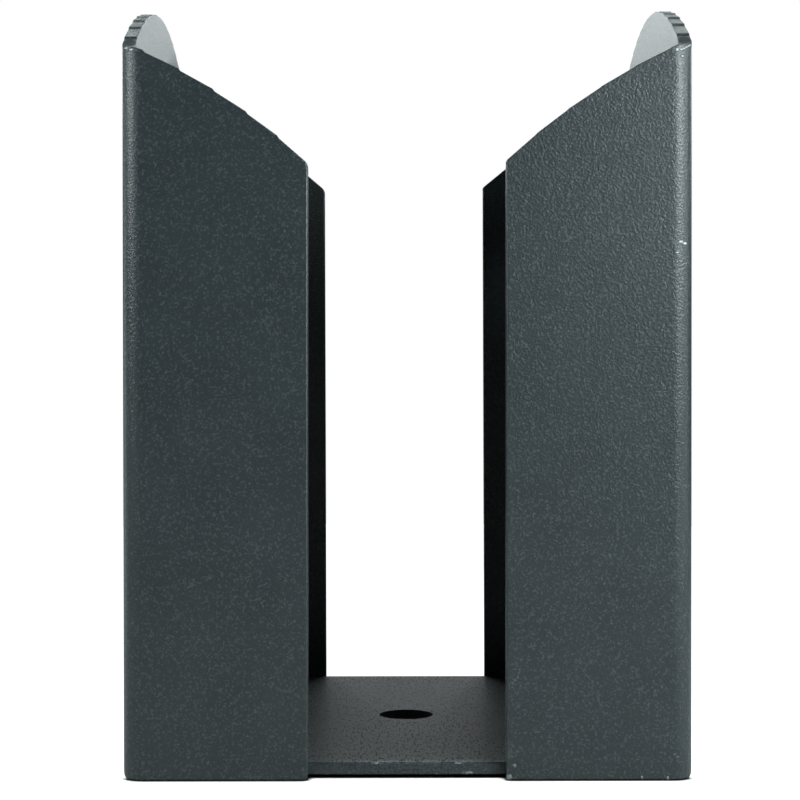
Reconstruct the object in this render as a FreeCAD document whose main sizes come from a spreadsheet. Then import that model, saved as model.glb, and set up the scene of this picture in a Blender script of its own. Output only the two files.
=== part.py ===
"""Bolt-down post anchor: one folded steel sheet that holds the foot of a square timber post.

X runs across the anchor from one side wall to the other, Y from the front to the back and Z up.
The origin is under the middle of the anchor, on the surface that it is bolted down to.
"""
import FreeCAD, Part
import Sketcher
import math
import os

NODE = "post_anchor"

doc = FreeCAD.newDocument("post_anchor")

# Driving dimensions in millimetres, each with an alias that the features below are bound to.
SIZES = (
    ("pocket_width", 101, "between the side walls: a 100 mm post and its play"),
    ("pocket_depth", 101, "between the front and the back flanges"),
    ("sheet_thickness", 2.5, "steel sheet with its powder coat"),
    ("bend_radius", 1, "inside radius of every fold"),
    ("neutral_share", 0.44, "depth of the unstretched layer in a fold, as a share of the sheet"),
    ("crown_height", 148, "top of each side wall, at the middle of its width"),
    ("wing_drop", 33, "from the crown down to the top free corner of a flange"),
    ("flange_gap", 36.5, "between the free edges of a left and a right flange"),
    ("base_lift", 0.5, "from the feet of the flanges up to the underside of the base"),
    ("base_edge_play", 0.3, "between the edge of the base and the flange in front of it"),
    ("anchor_hole", 11, "hole in the base for an M10 anchor bolt"),
    ("screw_hole", 11, "holes in the side walls for 10 mm coach screws"),
    ("screw_height", 45, "from the feet up to the lower screw hole"),
    ("screw_spacing", 60, "from the lower screw hole to the upper one"),
    ("relief_width", 1.5, "slit that parts a vertical fold from the fold of the base"),
    ("relief_rise", 1, "from the top of the base fold to the end of the slit"),
    ("foot_round", 2.5, "rounded corner of the sheet where a vertical fold meets the slit"),
    ("low_corner_round", 1, "bottom free corner of a flange"),
    ("high_corner_round", 0.6, "top free corner of a flange"),
)
sizes = doc.addObject("Spreadsheet::Sheet", "sizes")
for row, (alias, value, meaning) in enumerate(SIZES, start=1):
    sizes.set(f"A{row}", meaning)
    sizes.set(f"B{row}", str(value))
    sizes.setAlias(f"B{row}", alias)
doc.recompute()

# Places that follow from the driving dimensions.
HALF_WIDTH = "(sizes.pocket_width / 2 + sizes.sheet_thickness)"
HALF_DEPTH = "(sizes.pocket_depth / 2 + sizes.sheet_thickness)"
OUTER_RADIUS = "(sizes.bend_radius + sizes.sheet_thickness)"
BEND_X = f"({HALF_WIDTH} - {OUTER_RADIUS})"
BEND_Y = f"({HALF_DEPTH} - {OUTER_RADIUS})"
BASE_TOP = "(sizes.base_lift + sizes.sheet_thickness)"
BASE_BEND_Z = f"(sizes.base_lift + {OUTER_RADIUS})"
FREE_X = "(sizes.flange_gap / 2)"

# The top outline is one circular arc in the flat sheet. Its run is measured along the sheet,
# from the middle of a side wall, round the vertical fold and along the flange to its free edge.
BEND_RUN = "(pi / 2 * (sizes.bend_radius + sizes.neutral_share * sizes.sheet_thickness))"
FREE_RUN = f"({BEND_Y} + {BEND_RUN} + {BEND_X} - {FREE_X})"
ARC_RADIUS = f"(({FREE_RUN} ^ 2 + sizes.wing_drop ^ 2) / (2 * sizes.wing_drop))"


def arc_height(run):
    """Height of the top outline at a run along the sheet."""
    return f"(sizes.crown_height - {ARC_RADIUS} + sqrt({ARC_RADIUS} ^ 2 - {run} ^ 2))"


WALL_END_HEIGHT = arc_height(BEND_Y)
FLANGE_START_HEIGHT = arc_height(f"({BEND_Y} + {BEND_RUN})")
FREE_HEIGHT = "(sizes.crown_height - sizes.wing_drop)"
FOLD_DROP = f"({WALL_END_HEIGHT} - {FLANGE_START_HEIGHT})"
STOCK_TOP = "(sizes.crown_height + sizes.sheet_thickness)"
CUT_TOP = f"({STOCK_TOP} + {OUTER_RADIUS})"

body = doc.addObject("PartDesign::Body", NODE)
body.Label = NODE


def sketch_on(name, role, level="0", across="0"):
    """Sketch on an origin plane, moved along the plane's normal and along the sketch's own X."""
    sketch = body.newObject("Sketcher::SketchObject", name)
    plane = next(feature for feature in body.Origin.OriginFeatures if feature.Role == role)
    sketch.AttachmentSupport = (plane, [""])
    sketch.MapMode = "FlatFace"
    sketch.setExpression("AttachmentOffset.Base.x", across)
    sketch.setExpression("AttachmentOffset.Base.z", level)
    return sketch


def pin_point(sketch, geometry, end, place):
    """Tie one point of the sketch to its place, given as an X and a Y expression."""
    for kind, expression in zip(("DistanceX", "DistanceY"), place):
        value = sketch.evalExpression(expression)
        index = sketch.addConstraint(Sketcher.Constraint(kind, -1, 1, geometry, end, value))
        sketch.setExpression(f"Constraints[{index}]", expression)


def add_loop(sketch, corners):
    """Closed outline through the corners, each with an X and a Y expression.

    A corner that also has a radius and a turn is reached by an arc: 1 turns left, -1 right.
    """
    places = [FreeCAD.Vector(*(sketch.evalExpression(text) for text in corner[:2])) for corner in corners]
    starts = []
    ends = []
    for number, corner in enumerate(corners):
        start = places[number - 1]
        end = places[number]
        if len(corner) == 2:
            line = sketch.addGeometry(Part.LineSegment(start, end))
            starts.append((line, 1))
            ends.append((line, 2))
            continue
        radius_text, turn = corner[2:]
        radius = sketch.evalExpression(radius_text)
        way = end - start
        rise = math.sqrt(max(radius ** 2 - way.Length ** 2 / 4, 0))
        side = FreeCAD.Vector(-way.y, way.x).normalize()
        centre = (start + end) / 2 + side * rise * turn
        first, last = (start, end) if turn > 0 else (end, start)
        angles = [math.atan2(point.y - centre.y, point.x - centre.x) for point in (first, last)]
        circle = Part.Circle(centre, FreeCAD.Vector(0, 0, 1), radius)
        arc = sketch.addGeometry(Part.ArcOfCircle(circle, *angles))
        bound = sketch.addConstraint(Sketcher.Constraint("Radius", arc, radius))
        sketch.setExpression(f"Constraints[{bound}]", radius_text)
        starts.append((arc, 1 if turn > 0 else 2))
        ends.append((arc, 2 if turn > 0 else 1))
    for number, corner in enumerate(corners):
        after = starts[(number + 1) % len(corners)]
        sketch.addConstraint(Sketcher.Constraint("Coincident", *ends[number], *after))
        pin_point(sketch, *ends[number], corner[:2])


def add_hole(sketch, place, diameter):
    """Circle of a drilled or punched hole."""
    centre = FreeCAD.Vector(*(sketch.evalExpression(text) for text in place))
    size = sketch.evalExpression(diameter)
    circle = sketch.addGeometry(Part.Circle(centre, FreeCAD.Vector(0, 0, 1), size / 2))
    pin_point(sketch, circle, 3, place)
    bound = sketch.addConstraint(Sketcher.Constraint("Diameter", circle, size))
    sketch.setExpression(f"Constraints[{bound}]", diameter)


def pad(name, sketch, length, symmetric=False):
    """Solid added along the sketch's normal, or to both sides of it."""
    feature = body.newObject("PartDesign::Pad", name)
    feature.Profile = sketch
    feature.SideType = "Symmetric" if symmetric else "One side"
    feature.setExpression("Length", length)
    doc.recompute()


def cut(name, sketch, length=None, symmetric=False, along_normal=False):
    """Pocket to a depth, or through everything, which has to take some steel away."""
    before = body.Shape.Volume
    feature = body.newObject("PartDesign::Pocket", name)
    feature.Profile = sketch
    feature.SideType = "Symmetric" if symmetric else "One side"
    feature.Reversed = along_normal
    if length is None:
        feature.Type = "ThroughAll"
    else:
        feature.setExpression("Length", length)
    doc.recompute()
    if not body.Shape.Volume < before:
        raise RuntimeError(f"{name} takes nothing away")


# Base with its two folds and the side walls: one channel, seen from the front.
channel = sketch_on("channel_section", "XZ_Plane")
add_loop(channel, (
    (f"-{HALF_WIDTH}", STOCK_TOP),
    (f"-{HALF_WIDTH}", BASE_BEND_Z),
    (f"-{BEND_X}", "sizes.base_lift", OUTER_RADIUS, 1),
    (BEND_X, "sizes.base_lift"),
    (HALF_WIDTH, BASE_BEND_Z, OUTER_RADIUS, 1),
    (HALF_WIDTH, STOCK_TOP),
    ("sizes.pocket_width / 2", STOCK_TOP),
    ("sizes.pocket_width / 2", BASE_BEND_Z),
    (BEND_X, BASE_TOP, "sizes.bend_radius", -1),
    (f"-{BEND_X}", BASE_TOP),
    ("-sizes.pocket_width / 2", BASE_BEND_Z, "sizes.bend_radius", -1),
    ("-sizes.pocket_width / 2", STOCK_TOP),
))
pad("channel_fold", channel, f"2 * {BEND_Y}", symmetric=True)

# Vertical folds and the four flanges, seen from above. They reach down to the floor.
flanges = sketch_on("flange_sections", "XY_Plane")
for side in (1, -1):
    for end in (1, -1):
        turn = side * end
        add_loop(flanges, (
            (f"{side} * {HALF_WIDTH}", f"{end} * {BEND_Y}"),
            (f"{side} * {BEND_X}", f"{end} * {HALF_DEPTH}", OUTER_RADIUS, turn),
            (f"{side} * {FREE_X}", f"{end} * {HALF_DEPTH}"),
            (f"{side} * {FREE_X}", f"{end} * sizes.pocket_depth / 2"),
            (f"{side} * {BEND_X}", f"{end} * sizes.pocket_depth / 2"),
            (f"{side} * sizes.pocket_width / 2", f"{end} * {BEND_Y}", "sizes.bend_radius", -turn),
        ))
pad("flange_folds", flanges, STOCK_TOP)

# The base runs on to the inner faces of the flanges, so that its cut edges show in the gaps.
lip = sketch_on("base_outline", "XY_Plane", level="sizes.base_lift")
LIP_Y = "(sizes.pocket_depth / 2 - sizes.base_edge_play)"
add_loop(lip, (
    (f"-{BEND_X}", f"-{LIP_Y}"),
    (BEND_X, f"-{LIP_Y}"),
    (BEND_X, LIP_Y),
    (f"-{BEND_X}", LIP_Y),
))
pad("base_plate", lip, "sizes.sheet_thickness")

# Corner reliefs: a round-ended slit beside each end of a base fold. The foot of the vertical
# fold next to it has a rounded corner, which softens the outline near the floor.
RELIEF_TOP = f"({BASE_BEND_Z} + sizes.relief_rise)"
RELIEF_SPRING = f"({RELIEF_TOP} - sizes.relief_width / 2)"
for side, hand in ((1, "right"), (-1, "left")):
    reliefs = sketch_on(f"relief_outline_{hand}", "YZ_Plane", level=f"{side} * {HALF_WIDTH}")
    for end in (1, -1):
        near = f"{end} * ({BEND_Y} - sizes.relief_width)"
        middle = f"{end} * ({BEND_Y} - sizes.relief_width / 2)"
        add_loop(reliefs, (
            (near, "-sizes.sheet_thickness"),
            (near, RELIEF_SPRING),
            (middle, RELIEF_TOP, "sizes.relief_width / 2", -end),
            (f"{end} * {BEND_Y}", RELIEF_SPRING, "sizes.relief_width / 2", -end),
            (f"{end} * {BEND_Y}", "sizes.foot_round"),
            (f"{end} * ({BEND_Y} + sizes.foot_round)", "0", "sizes.foot_round", end),
            (f"{end} * ({BEND_Y} + sizes.foot_round)", "-sizes.sheet_thickness"),
        ))
    cut(f"corner_reliefs_{hand}", reliefs, OUTER_RADIUS, along_normal=side < 0)

# Round each vertical fold the top outline is a short helical ramp, square to the sheet all the way.
for side, hand in ((1, "right"), (-1, "left")):
    for end, place in ((-1, "front"), (1, "back")):
        ramp = sketch_on(f"ramp_{place}_{hand}", "XZ_Plane", level=f"{-end} * {BEND_Y}",
                         across=f"{side} * {BEND_X}")
        inner = f"{side} * sizes.bend_radius / 2"
        outer = f"{side} * ({OUTER_RADIUS} + sizes.bend_radius / 2)"
        add_loop(ramp, (
            (inner, WALL_END_HEIGHT),
            (outer, WALL_END_HEIGHT),
            (outer, CUT_TOP),
            (inner, CUT_TOP),
        ))
        before = body.Shape.Volume
        helix = body.newObject("PartDesign::SubtractiveHelix", f"fold_top_{place}_{hand}")
        helix.Profile = ramp
        helix.ReferenceAxis = (ramp, ["V_Axis"])
        helix.Mode = "pitch-turns-angle"
        helix.setExpression("Pitch", f"4 * {FOLD_DROP}")
        helix.Turns = 0.25
        helix.Angle = 0
        helix.LeftHanded = side * end > 0
        helix.Reversed = True
        doc.recompute()
        if not body.Shape.Volume < before:
            raise RuntimeError(f"{helix.Name} takes nothing away")

# On the side walls it is the arc over the crown, cut straight through both walls.
wall_arc = sketch_on("wall_top_arc", "YZ_Plane")
add_loop(wall_arc, (
    (f"-{BEND_Y}", CUT_TOP),
    (f"-{BEND_Y}", WALL_END_HEIGHT),
    (BEND_Y, WALL_END_HEIGHT, ARC_RADIUS, -1),
    (BEND_Y, CUT_TOP),
))
cut("wall_tops", wall_arc, symmetric=True)

# The same arc goes on along the flanges, unrolled from the far end of the fold.
flange_arc = sketch_on("flange_top_arcs", "XZ_Plane")
for side in (1, -1):
    add_loop(flange_arc, (
        (f"{side} * {BEND_X}", CUT_TOP),
        (f"{side} * {BEND_X}", FLANGE_START_HEIGHT),
        (f"{side} * {FREE_X}", FREE_HEIGHT, ARC_RADIUS, side),
        (f"{side} * {FREE_X}", CUT_TOP),
    ))
cut("flange_tops", flange_arc, symmetric=True)

# Hole in the middle of the base for the bolt, and the screw holes through both side walls.
bolt = sketch_on("anchor_hole_outline", "XY_Plane", level=BASE_TOP)
add_hole(bolt, ("0", "0"), "sizes.anchor_hole")
cut("anchor_hole_cut", bolt)
screws = sketch_on("screw_hole_outlines", "YZ_Plane")
for number in range(2):
    add_hole(screws, ("0", f"sizes.screw_height + {number} * sizes.screw_spacing"), "sizes.screw_hole")
cut("screw_holes_cut", screws, symmetric=True)


def round_corners(name, height, radius):
    """Round the free corners of the four flanges that lie at one height."""
    level = body.evalExpression(height)
    free_x = body.evalExpression(FREE_X)
    close = 1e-4
    edges = []
    for number, edge in enumerate(body.Shape.Edges, start=1):
        box = edge.BoundBox
        at_corner = abs(box.ZMin - level) < close and box.ZLength < close
        at_free_edge = abs(abs(box.Center.x) - free_x) < close and box.XLength < close
        if at_corner and at_free_edge:
            edges.append(f"Edge{number}")
    if len(edges) != 4:
        raise RuntimeError(f"{name} finds {len(edges)} corners")
    solid = body.Tip
    feature = body.newObject("PartDesign::Fillet", name)
    feature.Base = (solid, edges)
    feature.setExpression("Radius", radius)
    doc.recompute()


round_corners("low_corners", "0", "sizes.low_corner_round")
round_corners("high_corners", FREE_HEIGHT, "sizes.high_corner_round")

# Every feature has to be sound, and the anchor one valid solid, before it is written.
doc.recompute()
for item in doc.Objects:
    if "Invalid" in item.State or "Error" in item.State:
        raise RuntimeError(f"{item.Name} failed: {item.State}")
if body.Shape.isNull() or not body.Shape.isValid() or len(body.Shape.Solids) != 1:
    raise RuntimeError("the anchor is not one valid solid")

os.makedirs("parts", exist_ok=True)
body.Shape.exportStep(f"parts/{body.Label}.step")
box = body.Shape.BoundBox
print(body.Label, "volume", round(body.Shape.Volume, 1), "faces", len(body.Shape.Faces))
print("size", [round(length, 3) for length in (box.XLength, box.YLength, box.ZLength)])
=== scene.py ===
import math

import bmesh
import bpy
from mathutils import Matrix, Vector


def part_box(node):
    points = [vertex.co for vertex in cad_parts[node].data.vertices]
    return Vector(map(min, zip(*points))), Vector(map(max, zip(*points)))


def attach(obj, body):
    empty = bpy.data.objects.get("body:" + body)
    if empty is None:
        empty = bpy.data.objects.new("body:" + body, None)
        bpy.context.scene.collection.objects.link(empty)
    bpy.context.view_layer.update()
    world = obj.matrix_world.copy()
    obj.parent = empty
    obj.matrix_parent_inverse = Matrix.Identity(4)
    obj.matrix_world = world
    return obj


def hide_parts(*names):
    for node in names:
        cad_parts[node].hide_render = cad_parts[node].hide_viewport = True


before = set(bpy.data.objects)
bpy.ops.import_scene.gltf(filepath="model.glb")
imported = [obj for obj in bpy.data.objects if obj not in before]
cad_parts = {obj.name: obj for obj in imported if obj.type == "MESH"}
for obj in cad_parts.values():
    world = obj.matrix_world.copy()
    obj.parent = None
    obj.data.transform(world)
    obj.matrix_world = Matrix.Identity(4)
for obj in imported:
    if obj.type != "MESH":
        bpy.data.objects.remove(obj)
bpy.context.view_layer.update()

# The folded sheet. The real anchor is one blank of 2.5 mm sheet steel, cut along an arched top
# outline, punched, and folded in a press: two folds raise the side walls from the base, and four
# more turn the flanges inwards. One quarter is shaped here along the sheet, then mirrored twice.
MM = 0.001
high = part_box("post_anchor")[1]
HALF = high[0]
CROWN = high[2]
SHEET = 2.5 * MM
INSIDE = HALF - SHEET
FOLD_INNER = 1.0 * MM
FOLD_OUTER = FOLD_INNER + SHEET
FOLD = HALF - FOLD_OUTER
NEUTRAL_SHARE = 0.44
FOLD_RUN = math.pi / 2 * (FOLD_INNER + NEUTRAL_SHARE * SHEET)
FREE_EDGE = 18.25 * MM
FREE_RUN = FOLD + FOLD_RUN + FOLD - FREE_EDGE
WING_DROP = 33 * MM
ARC = (FREE_RUN ** 2 + WING_DROP ** 2) / (2 * WING_DROP)
BASE_LIFT = 0.5 * MM
BASE_TOP = BASE_LIFT + SHEET
BASE_FOLD = BASE_LIFT + FOLD_OUTER
BASE_PLAY = 0.3 * MM
BASE_EDGE = INSIDE - BASE_PLAY
SLIT_WIDTH = 1.5 * MM
SLIT_SIDE = FOLD - SLIT_WIDTH
SLIT_RISE = 1.0 * MM
SLIT_TOP = BASE_FOLD + SLIT_RISE
FOOT_ROUND = 2.5 * MM
FOLD_STEPS = 10
CLOSE = 0.02 * MM

# The cutter bit the arch out in straight bites and left a small step at the end of each.
BITES = [run * MM for run in (3.6, 10.8, 17.9, 24.9, 31.8, 38.8, 46.2, 53.4, 60.0, 66.3, 72.4, 78.2)]
WALL_STEP = 0.8 * MM
FLANGE_STEP = 0.4 * MM


def select_faces(form, test):
    """Select the faces of the form in edit mode whose middle and normal pass the test."""
    bpy.ops.mesh.select_all(action="DESELECT")
    mesh = bmesh.from_edit_mesh(form.data)
    for face in mesh.faces:
        if test(face.calc_center_median(), face.normal):
            face.select_set(True)
    bmesh.update_edit_mesh(form.data)


def select_edges(form, test):
    """Select the edges in edit mode whose two ends pass the test together."""
    bpy.ops.mesh.select_all(action="DESELECT")
    mesh = bmesh.from_edit_mesh(form.data)
    for edge in mesh.edges:
        if test(edge.verts[0].co, edge.verts[1].co):
            edge.select_set(True)
    bmesh.update_edit_mesh(form.data)


def select_points(form, test):
    """Select the points in edit mode that pass the test, and say how many there are."""
    bpy.ops.mesh.select_all(action="DESELECT")
    mesh = bmesh.from_edit_mesh(form.data)
    found = 0
    for point in mesh.verts:
        if test(point.co):
            point.select_set(True)
            found += 1
    bmesh.update_edit_mesh(form.data)
    return found


def pull(x=0.0, y=0.0, z=0.0):
    """Extrude the selected faces by a step."""
    bpy.ops.mesh.extrude_region()
    bpy.ops.transform.translate(value=(x, y, z))


def apply_modifier(form, kind, **settings):
    """Add a modifier to the form, set it and apply it."""
    modifier = form.modifiers.new(kind.lower(), kind)
    for name, value in settings.items():
        setattr(modifier, name, value)
    bpy.context.view_layer.objects.active = form
    bpy.ops.object.modifier_apply(modifier=modifier.name)


bpy.ops.object.select_all(action="DESELECT")
first = BITES[0]
bpy.ops.mesh.primitive_cube_add(size=1, location=(HALF - SHEET / 2, -first / 2, (SLIT_TOP + CROWN) / 2),
                                scale=(SHEET, first, CROWN - SLIT_TOP))
sheet = bpy.context.object
sheet.name = "folded_sheet"
bpy.ops.object.transform_apply(location=True, rotation=True, scale=True)

# Along the wall to the fold, round it, and along the flange to its free edge. The stops where a
# bite ends and the next one starts become edges across the sheet.
bpy.ops.object.mode_set(mode="EDIT")
FLANGE_START = FOLD + FOLD_RUN
wall_bites = [run for run in BITES if run < FOLD]
flange_bites = [run for run in BITES if run > FLANGE_START]
wall_stops = sorted(wall_bites + [run + WALL_STEP for run in wall_bites] + [SLIT_SIDE, FOLD])
flange_stops = sorted(flange_bites + [run + FLANGE_STEP for run in flange_bites] + [FREE_RUN])
select_faces(sheet, lambda middle, normal: normal.y < -0.9)
for before, after in zip(wall_stops, wall_stops[1:]):
    pull(y=before - after)
bpy.ops.mesh.spin(steps=FOLD_STEPS, angle=math.pi / 2, center=(FOLD, -FOLD, 0), axis=(0, 0, 1))
for before, after in zip([FLANGE_START] + flange_stops, flange_stops):
    pull(x=before - after)

# Flanges down to the floor, with the corner beside the slit rounded off.
select_faces(sheet, lambda middle, normal: normal.z < -0.9 and (middle.y < -FOLD or middle.x < FOLD))
pull(z=-SLIT_TOP)
for number in range(FOLD_STEPS + 1):
    turn = math.pi / 2 * number / FOLD_STEPS
    for radius in (FOLD_INNER, FOLD_OUTER):
        x = FOLD + radius * math.cos(turn)
        y = FOLD + radius * math.sin(turn)
        reach = FOLD + FOOT_ROUND - y
        if x > FOLD + CLOSE and reach > 0:
            rise = FOOT_ROUND - math.sqrt(max(FOOT_ROUND ** 2 - reach ** 2, 0))
            select_points(sheet, lambda point: abs(point.z) < CLOSE and math.hypot(point.x - x, point.y + y) < CLOSE)
            bpy.ops.transform.translate(value=(0, 0, rise))

# The wall down to the base fold, round it, and the base to the middle of the anchor.
select_faces(sheet, lambda middle, normal: normal.z < -0.9 and middle.x > FOLD and middle.y > -SLIT_SIDE)
pull(z=BASE_FOLD - SLIT_TOP)
bpy.ops.mesh.spin(steps=FOLD_STEPS, angle=-math.pi / 2, center=(FOLD, 0, BASE_FOLD), axis=(0, 1, 0))
pull(x=-FOLD)
select_faces(sheet, lambda middle, normal: normal.y < -0.9 and middle.x < FOLD and middle.z < BASE_FOLD
             and abs(middle.y + SLIT_SIDE) < CLOSE)
pull(y=SLIT_SIDE - BASE_EDGE)

# The ends of the quarter on the two middle planes are opened, so that the mirrored quarters join.
select_faces(sheet, lambda middle, normal: (abs(middle.y) < CLOSE and abs(normal.y) > 0.9)
             or (abs(middle.x) < CLOSE and abs(normal.x) > 0.9))
bpy.ops.mesh.delete(type="ONLY_FACE")
bpy.ops.object.mode_set(mode="OBJECT")

# The quarter becomes the whole anchor, and the arch is bitten out along the top.
apply_modifier(sheet, "MIRROR", use_axis=(True, True, False), use_clip=True, merge_threshold=CLOSE)
bpy.ops.object.mode_set(mode="EDIT")
bpy.ops.mesh.select_all(action="SELECT")
bpy.ops.mesh.remove_doubles(threshold=CLOSE)
bpy.ops.mesh.normals_make_consistent(inside=False)

# The left wing stands a little lower than the right one. Each step of the cut starts above the true
# arc and ends below it, and the steps are smallest where the arc is nearly level.
WING_DIFFERENCE = 0.55 * MM
WALL_BITE = 0.32 * MM
FLANGE_BITE = {-1: 0.26 * MM, 1: 0.09 * MM}
FULL_BITE_SLOPE = 0.25
SHARE_ABOVE = 0.6
SHARE_BELOW = 0.4


def arch(run):
    """Height of the true arc at a run along the sheet from the middle of a wall."""
    return CROWN - ARC + math.sqrt(ARC ** 2 - run ** 2)


def cut_height(run, side):
    """Height of the cut edge: straight bites from step to step, on the left or the right wing."""
    knots = [(0.0, arch(0))]
    for bite in BITES:
        step = WALL_STEP if bite < FOLD else FLANGE_STEP
        depth = WALL_BITE if bite < FOLD else FLANGE_BITE[side]
        depth *= min(1, bite / math.sqrt(ARC ** 2 - bite ** 2) / FULL_BITE_SLOPE)
        knots.append((bite, arch(bite) + SHARE_ABOVE * depth))
        knots.append((bite + step, arch(bite + step) - SHARE_BELOW * depth))
    knots.append((FREE_RUN, arch(FREE_RUN)))
    for (start, upper), (end, lower) in zip(knots, knots[1:]):
        if run <= end + CLOSE:
            return min(CROWN, upper + (lower - upper) * (run - start) / (end - start))


def run_of(point):
    """Run along the sheet of a point on the folded anchor."""
    beyond_wall = abs(point.y) - FOLD
    beyond_flange = abs(point.x) - FOLD
    if beyond_wall <= 0:
        return abs(point.y)
    if beyond_flange <= 0:
        return FLANGE_START - beyond_flange
    return FOLD + FOLD_RUN * math.atan2(beyond_wall, beyond_flange) / (math.pi / 2)


fold_stops = [FOLD + FOLD_RUN * number / FOLD_STEPS for number in range(1, FOLD_STEPS + 1)]
for side in (-1, 1):
    wing = 0 if side > 0 else -WING_DIFFERENCE
    for run in [0.0] + wall_stops + fold_stops + flange_stops:
        found = select_points(sheet, lambda point: point.z > CROWN - CLOSE and point.x * side > 0
                              and abs(run_of(point) - run) < CLOSE)
        if found:
            bpy.ops.transform.translate(value=(0, 0, cut_height(run, side) - CROWN + wing - 2 * CLOSE))

# The flanges spring back a little unevenly, so that their free edges lean by up to a third of a
# millimetre. Each row has the left or right side, the front or back, and the drift in millimetres
# at the top and at the foot.
SPRING_BACK = ((-1, -1, 0.11, 0.30), (1, -1, 0.03, 0.0), (-1, 1, 0.0, -0.22), (1, 1, -0.30, 0.0))
for side, front, at_top, at_foot in SPRING_BACK:
    for below, above, drift in ((-CLOSE, SLIT_TOP + CLOSE, at_foot), (CROWN / 2, CROWN, at_top)):
        select_points(sheet, lambda point: below < point.z < above and point.y * front > FOLD
                      and abs(point.x * side - FREE_EDGE) < CLOSE)
        bpy.ops.transform.translate(value=(side * drift * MM, 0, 0))

# The cut edges of the base are rolled over by the shears, the slits beside the base folds end
# round, and the free corners of the flanges are eased, more on the left than on the right.
ROUND_STEPS = 4
BASE_ROLL = 0.7 * MM
SLIT_ROUND = 0.48 * SLIT_WIDTH
CORNER_ROUNDS = ((-1, 1.0 * MM, 0.7 * MM), (1, 0.4 * MM, 0.25 * MM))
MOST_DRIFT = 0.4 * MM
select_edges(sheet, lambda one, other: abs(abs(one.y) - BASE_EDGE) < CLOSE and abs(abs(other.y) - BASE_EDGE) < CLOSE
             and abs(one.z - BASE_TOP) < CLOSE and abs(other.z - BASE_TOP) < CLOSE
             and max(abs(one.x), abs(other.x)) < FOLD + CLOSE)
bpy.ops.mesh.bevel(offset=BASE_ROLL, segments=ROUND_STEPS, affect="EDGES")
select_edges(sheet, lambda one, other: abs(one.x) > FOLD and abs(one.z - SLIT_TOP) < CLOSE
             and abs(other.z - SLIT_TOP) < CLOSE and abs(one.y - other.y) < CLOSE
             and min(abs(abs(one.y) - FOLD), abs(abs(one.y) - SLIT_SIDE)) < CLOSE)
bpy.ops.mesh.bevel(offset=SLIT_ROUND, segments=ROUND_STEPS, affect="EDGES")
for side, low_round, high_round in CORNER_ROUNDS:
    for below, above, radius in ((-CLOSE, CLOSE, low_round), (CROWN / 2, CROWN, high_round)):
        select_edges(sheet, lambda one, other: one.x * side > 0 and below < one.z < above
                     and abs(one.z - other.z) < CLOSE and abs(abs(one.x) - FREE_EDGE) < MOST_DRIFT
                     and abs(abs(other.x) - FREE_EDGE) < MOST_DRIFT)
        bpy.ops.mesh.bevel(offset=radius, segments=ROUND_STEPS, affect="EDGES")
bpy.ops.object.mode_set(mode="OBJECT")

# One hole is punched in the base for the bolt, and two in each side wall for screws.
HOLE = 5.5 * MM
HOLE_SIDES = 96
SCREW_HEIGHTS = (45 * MM, 105 * MM)
punches = [((0, 0, BASE_LIFT + SHEET / 2), 3 * SHEET, 0)]
punches += [((0, 0, height), 3 * HALF, math.pi / 2) for height in SCREW_HEIGHTS]
for middle, depth, tilt in punches:
    bpy.ops.mesh.primitive_cylinder_add(vertices=HOLE_SIDES, radius=HOLE, depth=depth, location=middle,
                                        rotation=(0, tilt, 0))
    punch = bpy.context.object
    bpy.ops.object.transform_apply(location=True, rotation=True, scale=True)
    apply_modifier(sheet, "BOOLEAN", operation="DIFFERENCE", object=punch, solver="EXACT")
    bpy.data.objects.remove(punch)

# The coat runs thin and round over every sheared edge, and thinnest along the arch and round the
# holes. On the arch it starts thinning a little past the flange's free corner.
COAT_ROUND = 0.4 * MM
THIN_SHARE = 0.4
SHARP = math.radians(50)
STEP_SHADING = math.radians(15)
THIN_FROM = FREE_EDGE + 5 * MM
bpy.ops.object.select_all(action="DESELECT")
sheet.select_set(True)
bpy.context.view_layer.objects.active = sheet
bpy.ops.object.mode_set(mode="EDIT")
bpy.ops.mesh.select_all(action="SELECT")
bpy.ops.mesh.remove_doubles(threshold=CLOSE / 10)
bpy.ops.mesh.normals_make_consistent(inside=False)
mesh = bmesh.from_edit_mesh(sheet.data)
share = mesh.edges.layers.float.get("bevel_weight_edge") or mesh.edges.layers.float.new("bevel_weight_edge")
for edge in mesh.edges:
    edge[share] = 0.0
    if edge.calc_face_angle(0) > SHARP:
        one, other = edge.verts[0].co, edge.verts[1].co
        on_arch = min(one.z, other.z) > CROWN - WING_DROP and min(abs(one.x), abs(other.x)) > THIN_FROM
        from_axes = [math.hypot(one.x, one.y)] + [math.hypot(one.y, one.z - height) for height in SCREW_HEIGHTS]
        on_hole = min(from_axes) < HOLE + 2 * CLOSE
        edge[share] = THIN_SHARE if on_arch or on_hole else 1.0
bmesh.update_edit_mesh(sheet.data)
bpy.ops.object.mode_set(mode="OBJECT")
bpy.ops.object.shade_smooth_by_angle(angle=STEP_SHADING)
apply_modifier(sheet, "BEVEL", width=COAT_ROUND, segments=3, limit_method="WEIGHT", use_clamp_overlap=False,
               harden_normals=True)

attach(sheet, "root")
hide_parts("post_anchor")

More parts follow.
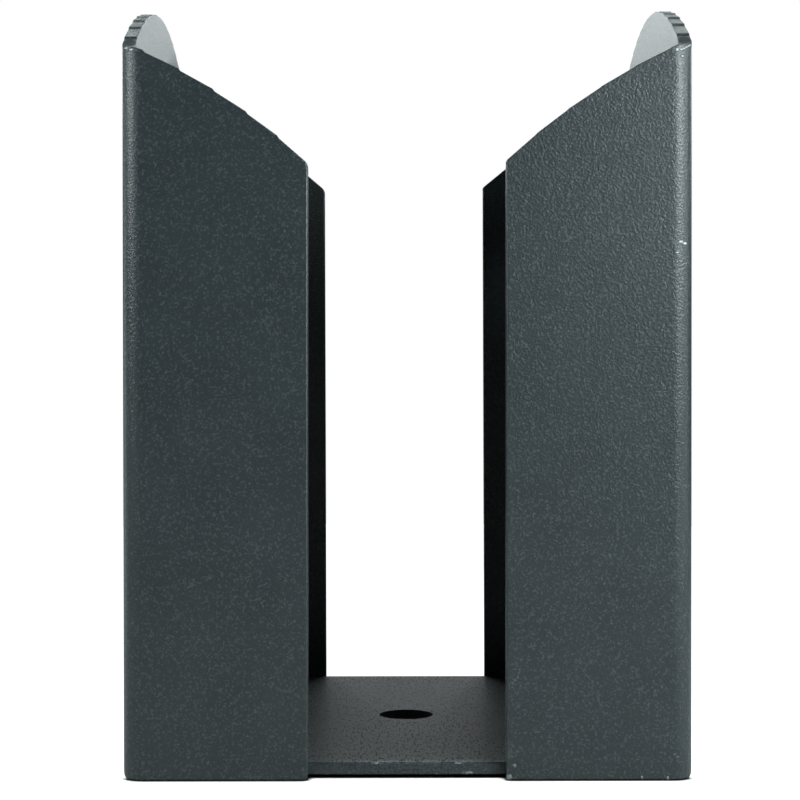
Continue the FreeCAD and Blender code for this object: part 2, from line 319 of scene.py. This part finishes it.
# The coat. Anthracite polyester powder, sprayed on dry and baked: a fine raised grain of under a
# millimetre, low in sheen, a little uneven in colour, that turns pale where light grazes it.
COAT_DARK = (0.0178, 0.0245, 0.0274)
COAT_PALE = (0.0216, 0.0293, 0.0322)
GRAIN_TOP = (0.068, 0.081, 0.081)
SCUFF_AND_HIGHLIGHT_PALE = (0.16, 0.175, 0.18)
BEAD = (0.17, 0.19, 0.195)
NIB_GLINT = (0.40, 0.43, 0.43)
PIT_SHADE = (0.004, 0.005, 0.006)
HOLE_SHADE = (0.002, 0.002, 0.002)
coat = bpy.data.materials.new("anthracite_powder_coat")
coat.use_nodes = True
nodes = coat.node_tree.nodes
links = coat.node_tree.links
shader = nodes["Principled BSDF"]
shader.inputs["IOR"].default_value = 1.5
shader.inputs["Specular IOR Level"].default_value = 0.5
on_piece = nodes.new("ShaderNodeTexCoord").outputs["Object"]


# These build in the node tree that nodes and links stand for at the time: the coat's here, and
# further down the board's and the studio's.
def vector_math(operation, value, numbers=None):
    """Put a vector through one operation, with constant numbers where it takes them."""
    node = nodes.new("ShaderNodeVectorMath")
    node.operation = operation
    if numbers:
        node.inputs[1].default_value = numbers
    links.new(value, node.inputs[0])
    return node.outputs["Value" if operation == "LENGTH" else "Vector"]


def chain(operation, *values):
    """Join several values by one math operation."""
    total = values[0]
    for value in values[1:]:
        node = nodes.new("ShaderNodeMath")
        node.operation = operation
        links.new(total, node.inputs[0])
        links.new(value, node.inputs[1])
        total = node.outputs[0]
    return total


def noise(scale, detail, roughness=0.5, squeeze=(1, 1, 1)):
    """Noise on the piece's own coordinates, with features about 1 / scale metres wide."""
    node = nodes.new("ShaderNodeTexNoise")
    node.inputs["Scale"].default_value = scale
    node.inputs["Detail"].default_value = detail
    node.inputs["Roughness"].default_value = roughness
    links.new(vector_math("MULTIPLY", on_piece, squeeze), node.inputs["Vector"])
    return node.outputs["Fac"]


def spread(value, low_in, high_in, low_out, high_out):
    """Map a value from one range to another, held at both ends."""
    node = nodes.new("ShaderNodeMapRange")
    for name, number in (("From Min", low_in), ("From Max", high_in), ("To Min", low_out), ("To Max", high_out)):
        node.inputs[name].default_value = number
    links.new(value, node.inputs["Value"])
    return node.outputs["Result"]


def blend(share, dark, pale):
    """Mix two colours by a share."""
    node = nodes.new("ShaderNodeMix")
    node.data_type = "RGBA"
    for socket, colour in ((node.inputs[6], dark), (node.inputs[7], pale)):
        if isinstance(colour, tuple):
            socket.default_value = (*colour, 1)
        else:
            links.new(colour, socket)
    links.new(share, node.inputs[0])
    return node.outputs[2]


def mark(centre, reach):
    """Share of a small blob in the coat, by its middle and its reach along the axes in millimetres."""
    offset = vector_math("SUBTRACT", on_piece, [number * MM for number in centre])
    scaled = vector_math("DIVIDE", offset, [number * MM for number in reach])
    return spread(vector_math("LENGTH", scaled), 1.3, 0.6, 0, 1)


# Nibs at the fold tops, with a painted glint for their pale colour; beads where the powder gathered along the base's
# edge and at the feet; scuff marks above the right foot; and a painted highlight along the base's front top edge.
NIB_GLINTS = (((-52.0, -51.9, 135.8), (0.5, 0.6, 0.24)), ((-51.0, -52.6, 135.45), (0.5, 0.4, 0.24)),
        ((49.9, -53.0, 135.4), (0.32, 0.3, 0.34)), ((50.7, -52.8, 135.45), (0.35, 0.4, 0.16)),
        ((51.2, -52.6, 135.65), (0.35, 0.4, 0.16)), ((51.7, -52.25, 135.9), (0.35, 0.4, 0.16)),
        ((52.15, -51.8, 136.15), (0.35, 0.4, 0.16)), ((52.5, -51.3, 136.4), (0.35, 0.4, 0.16)),
        ((50.9, -52.8, 134.2), (0.3, 0.3, 0.25)),
        ((50.6, -52.8, 99.9), (0.5, 0.4, 0.26)), ((51.4, -52.4, 99.6), (0.5, 0.5, 0.26)),
        ((49.9, -53.0, 97.9), (0.36, 0.3, 0.17)))
BEADS = (((-6.1, -49.9, 2.9), (0.6, 0.5, 0.4)), ((9.2, -49.9, 2.9), (0.6, 0.5, 0.4)),
         ((11.1, -50.2, 0.85), (1.0, 0.4, 0.36)), ((5.3, -50.2, 0.8), (0.22, 0.3, 0.26)),
         ((18.7, -53.0, 0.6), (0.6, 0.5, 0.55)), ((48.2, -53.0, 0.4), (0.22, 0.3, 0.4)),
         ((43.4, -53.0, 0.6), (0.2, 0.3, 0.3)), ((19.8, -53.0, 2.8), (0.3, 0.3, 0.3)))
# The last row is no scuff but a painted highlight along the base's front top edge.
SCUFFS_AND_EDGE_HIGHLIGHT = (((19.4, -53.0, 18.2), (0.2, 0.3, 0.2)), ((19.9, -53.0, 18.7), (0.24, 0.3, 0.24)),
          ((20.4, -53.0, 19.2), (0.2, 0.3, 0.2)), ((19.4, -53.0, 17.4), (0.16, 0.3, 0.16)),
          ((20.9, -53.0, 17.7), (0.14, 0.3, 0.14)), ((49.5, -53.0, 4.9), (0.26, 0.3, 0.2)),
          ((50.1, -52.9, 4.4), (0.26, 0.3, 0.2)), ((0, -49.4, 3.0), (16.0, 0.9, 0.5)))
BASE_FRONT = ((0, -50.2, 1.6), (24, 0.5, 1.6))
SCUFF_AND_HIGHLIGHT_STRENGTH = 0.45
BASE_FRONT_STRENGTH = 0.07
nib_glints = chain("MAXIMUM", *[mark(centre, reach) for centre, reach in NIB_GLINTS])
beads = chain("MAXIMUM", *[mark(centre, reach) for centre, reach in BEADS])
scuffs_and_edge_highlight = chain("MAXIMUM", *[mark(centre, reach) for centre, reach in SCUFFS_AND_EDGE_HIGHLIGHT])
grain = noise(2500, 2.0, 0.55)
clouds = noise(90, 3)
base = blend(spread(clouds, 0.3, 0.7, 0, 1), COAT_DARK, COAT_PALE)
body = blend(spread(grain, 0.53, 0.74, 0, 1), base, GRAIN_TOP)
# Scuff marks, and the painted highlight along the base's front top edge, in a pale colour.
scuffed_and_edge_lit = blend(spread(scuffs_and_edge_highlight, 0, 1, 0, SCUFF_AND_HIGHLIGHT_STRENGTH), body, SCUFF_AND_HIGHLIGHT_PALE)
# The base's front face is made a little paler.
front_paled = blend(spread(mark(*BASE_FRONT), 0, 1, 0, BASE_FRONT_STRENGTH), scuffed_and_edge_lit, SCUFF_AND_HIGHLIGHT_PALE)
beaded = blend(beads, front_paled, BEAD)
# Painted glints: the nib spots at the fold tops and on the right fold are coloured near white.
nib_glinted = blend(nib_glints, beaded, NIB_GLINT)

# On the base the grain is pitted, and its hollows are painted near black, as painted shade in them. The inside of
# the hole is painted near black too, as painted shade.
from_middle = vector_math("LENGTH", vector_math("MULTIPLY", on_piece, (1, 1, 0)))
axes = nodes.new("ShaderNodeSeparateXYZ")
links.new(on_piece, axes.inputs[0])
on_base = spread(axes.outputs["Z"], 3.4 * MM, 4.0 * MM, 1, 0)
inwards = spread(from_middle, 49 * MM, 60 * MM, 1, 0)
# Painted shade: the pitted grain's hollows on the base coloured near black.
shaded_pits = chain("MULTIPLY", spread(noise(2300, 1.0, 0.6, (1, 0.2, 1)), 0.55, 0.36, 0, 1), on_base, inwards)
# Painted shade: the inside of the hole coloured near black.
shaded_hole_inside = spread(from_middle, HOLE + 0.05 * MM, HOLE + 0.2 * MM, 1, 0)
links.new(blend(shaded_hole_inside, blend(shaded_pits, nib_glinted, PIT_SHADE), HOLE_SHADE), shader.inputs["Base Color"])

# Pits, the hole's inside and the stretched cut edge over each fold are dull, and so, a little, is the
# inside of the left wall towards the back.
FOLD_TOP = (1.6, 3.6, 2.2)
LEFT_INSIDE = ((-50.5, 34, 129), (0.8, 40, 18))
dull = chain("MAXIMUM", *[mark((x, y, 137.6), FOLD_TOP) for x in (-51.8, 51.8) for y in (-49.8, 49.8)])
sheen = spread(grain, 0.35, 0.65, 0.36, 0.28)
rough = chain("MAXIMUM", sheen, shaded_hole_inside, spread(shaded_pits, 0, 1, 0, 0.78), spread(dull, 0, 1, 0, 0.8),
              spread(mark(*LEFT_INSIDE), 0, 1, 0, 0.5))
links.new(rough, shader.inputs["Roughness"])

# The grain stands up to a tenth of a millimetre high, and nibs and beads up to 0.15 mm above it.
GRAIN_HEIGHT = 0.10 * MM
heaped = nodes.new("ShaderNodeMath")
heaped.operation = "MULTIPLY_ADD"
heaped.inputs[1].default_value = 1.5
links.new(chain("MAXIMUM", beads, nib_glints), heaped.inputs[0])
links.new(grain, heaped.inputs[2])
raised = nodes.new("ShaderNodeBump")
raised.inputs["Strength"].default_value = 1.0
raised.inputs["Distance"].default_value = GRAIN_HEIGHT
links.new(heaped.outputs[0], raised.inputs["Height"])
links.new(raised.outputs["Normal"], shader.inputs["Normal"])
sheet.data.materials.clear()
sheet.data.materials.append(coat)

# The ground. A round white board that the anchor stands on. The camera sees it plain white, apart from a painted
# contact shadow, a dark line within a millimetre or so of the anchor's feet, and it keeps the soft shadow.
BOARD_PAINTED_SHADOW = (0.02, 0.02, 0.02)
BOARD_PALE = (0.45, 0.45, 0.45)
CONTACT = 1.5 * MM
SEEN_IN_COAT = 0.2
bpy.ops.object.select_all(action="DESELECT")
bpy.ops.mesh.primitive_circle_add(vertices=96, radius=0.45, fill_type="NGON", location=(0, 0, 0))
ground = bpy.context.object
ground.name = "ground"
board = bpy.data.materials.new("white_board")
board.use_nodes = True
nodes = board.node_tree.nodes
links = board.node_tree.links
nodes.remove(nodes["Principled BSDF"])
seen = nodes.new("ShaderNodeLightPath")
plain = nodes.new("ShaderNodeBsdfDiffuse")
lift = nodes.new("ShaderNodeEmission")
both = nodes.new("ShaderNodeAddShader")
shown = chain("MAXIMUM", seen.outputs["Is Camera Ray"], spread(seen.outputs["Is Glossy Ray"], 0, 1, 0, SEEN_IN_COAT),
              seen.outputs["Is Transmission Ray"])
# The painted contact shadow: near the feet, by occlusion within 1.5 mm, the board is coloured dark and loses its
# white glow.
open_sky = nodes.new("ShaderNodeAmbientOcclusion")
open_sky.inputs["Distance"].default_value = CONTACT
open_share = spread(open_sky.outputs["AO"], 0.5, 0.95, 0, 1)
links.new(chain("MULTIPLY", shown, open_share), lift.inputs["Strength"])
links.new(blend(open_share, BOARD_PAINTED_SHADOW, BOARD_PALE), plain.inputs["Color"])
links.new(plain.outputs[0], both.inputs[0])
links.new(lift.outputs[0], both.inputs[1])
links.new(both.outputs[0], nodes["Material Output"].inputs["Surface"])
ground.data.materials.append(board)

# The studio. White behind the anchor and dark behind the camera, with soft boxes on either side:
# those on the right are stronger and nearer to the front, and wide ones stand far off at the back.
world = bpy.data.worlds.new("studio")
bpy.context.scene.world = world
world.use_nodes = True
nodes = world.node_tree.nodes
links = world.node_tree.links
way = nodes.new("ShaderNodeTexCoord")
parts = nodes.new("ShaderNodeSeparateXYZ")
links.new(way.outputs["Generated"], parts.inputs[0])
wall = chain("MULTIPLY", spread(parts.outputs["Y"], 0.93, 0.98, 0.005, 0.85),
             spread(parts.outputs["Z"], 0.14, 0.19, 1, 0), spread(parts.outputs["Z"], 0.09, 0.125, 0.15, 1.08))
seen = nodes.new("ShaderNodeLightPath")
light = chain("MAXIMUM", wall, chain("MAXIMUM", seen.outputs["Is Camera Ray"], seen.outputs["Is Transmission Ray"]))
links.new(light, nodes["Background"].inputs["Strength"])
nodes["Background"].inputs["Color"].default_value = (1, 1, 1, 1)

# Each box has its bearing from straight in front, more than zero to the left, and its rise, both in
# degrees, its distance, width and height in metres, and how bright its face is. All aim at one point.
AIM = 70 * MM
DAYLIGHT = (0.90, 1.0, 1.01)
SOFT_BOXES = (
    ("right_front", -30, 9, 0.36, 0.09, 0.09, 5.9), ("right_front_high", -30, 18, 0.36, 0.09, 0.09, 9.7),
    ("right_close", -20, 13, 0.36, 0.09, 0.09, 1.2), ("right_inner", -39, 19, 0.36, 0.06, 0.09, 18.0),
    ("right_middle", -52, 19, 0.36, 0.06, 0.09, 27.0), ("right_low", -54, 3, 0.36, 0.09, 0.09, 2.5),
    ("right_side", -78, 18, 0.36, 0.09, 0.09, 6.4), ("right_side_low", -78, 3, 0.36, 0.09, 0.09, 3.6),
    ("right_side_high", -78, 30, 0.36, 0.09, 0.09, 9.8),
    ("left_front", 35, 12, 0.42, 0.12, 0.12, 1.7), ("left_inner", 50, 18, 0.36, 0.09, 0.09, 5.6),
    ("left_middle", 62, 18, 0.36, 0.09, 0.09, 8.4), ("left_side", 74, 18, 0.36, 0.09, 0.09, 4.2),
    ("left_side_high", 78, 29, 0.40, 0.14, 0.12, 10.0), ("left_far", 120, 0, 2.5, 0.88, 0.53, 2.5),
    ("right_far", -140, 12, 2.5, 0.86, 0.53, 2.6), ("rear_left", 160, 12, 2.5, 0.86, 0.53, 4.2),
    ("rear_right", -160, 12, 2.5, 0.86, 0.53, 3.1), ("rear_right_high", -160, 24, 2.5, 0.81, 0.53, 4.6),
    ("rear_left_high", 160, 24, 2.5, 0.81, 0.53, 4.4), ("rear_top", 180, 45, 2.5, 0.62, 1.06, 4.0))
for name, azimuth, elevation, distance, width, tall, strength in SOFT_BOXES:
    lamp = bpy.data.lights.new(name, "AREA")
    lamp.shape = "RECTANGLE"
    lamp.size = width
    lamp.size_y = tall
    lamp.energy = math.pi * width * tall * strength
    lamp.color = DAYLIGHT
    box = bpy.data.objects.new(name, lamp)
    bpy.context.collection.objects.link(box)
    turn = math.radians(azimuth)
    rise = math.radians(elevation)
    box.location = (-distance * math.sin(turn) * math.cos(rise), -distance * math.cos(turn) * math.cos(rise),
                    AIM + distance * math.sin(rise))
    box.rotation_euler = (math.pi / 2 - rise, 0, -turn)

# The camera, where the photographer stood: square to the front, a little over half the height. The
# focal length and the shift are in pixels of a picture 800 wide.
SENSOR = 36
PICTURE = 800
FOCAL = 2336.25
SHIFT = -69
view = bpy.data.cameras.new("photographer")
view.sensor_width = SENSOR
view.lens = SENSOR * FOCAL / PICTURE
view.shift_y = SHIFT / PICTURE
camera = bpy.data.objects.new("photographer", view)
bpy.context.collection.objects.link(camera)
camera.location = (-2.743 * MM, -485.05 * MM, 88.92 * MM)
camera.rotation_euler = (math.pi / 2 - 0.01271, 0.00086, -0.00316)
bpy.context.scene.camera = camera
bpy.context.scene.view_settings.view_transform = "Standard"
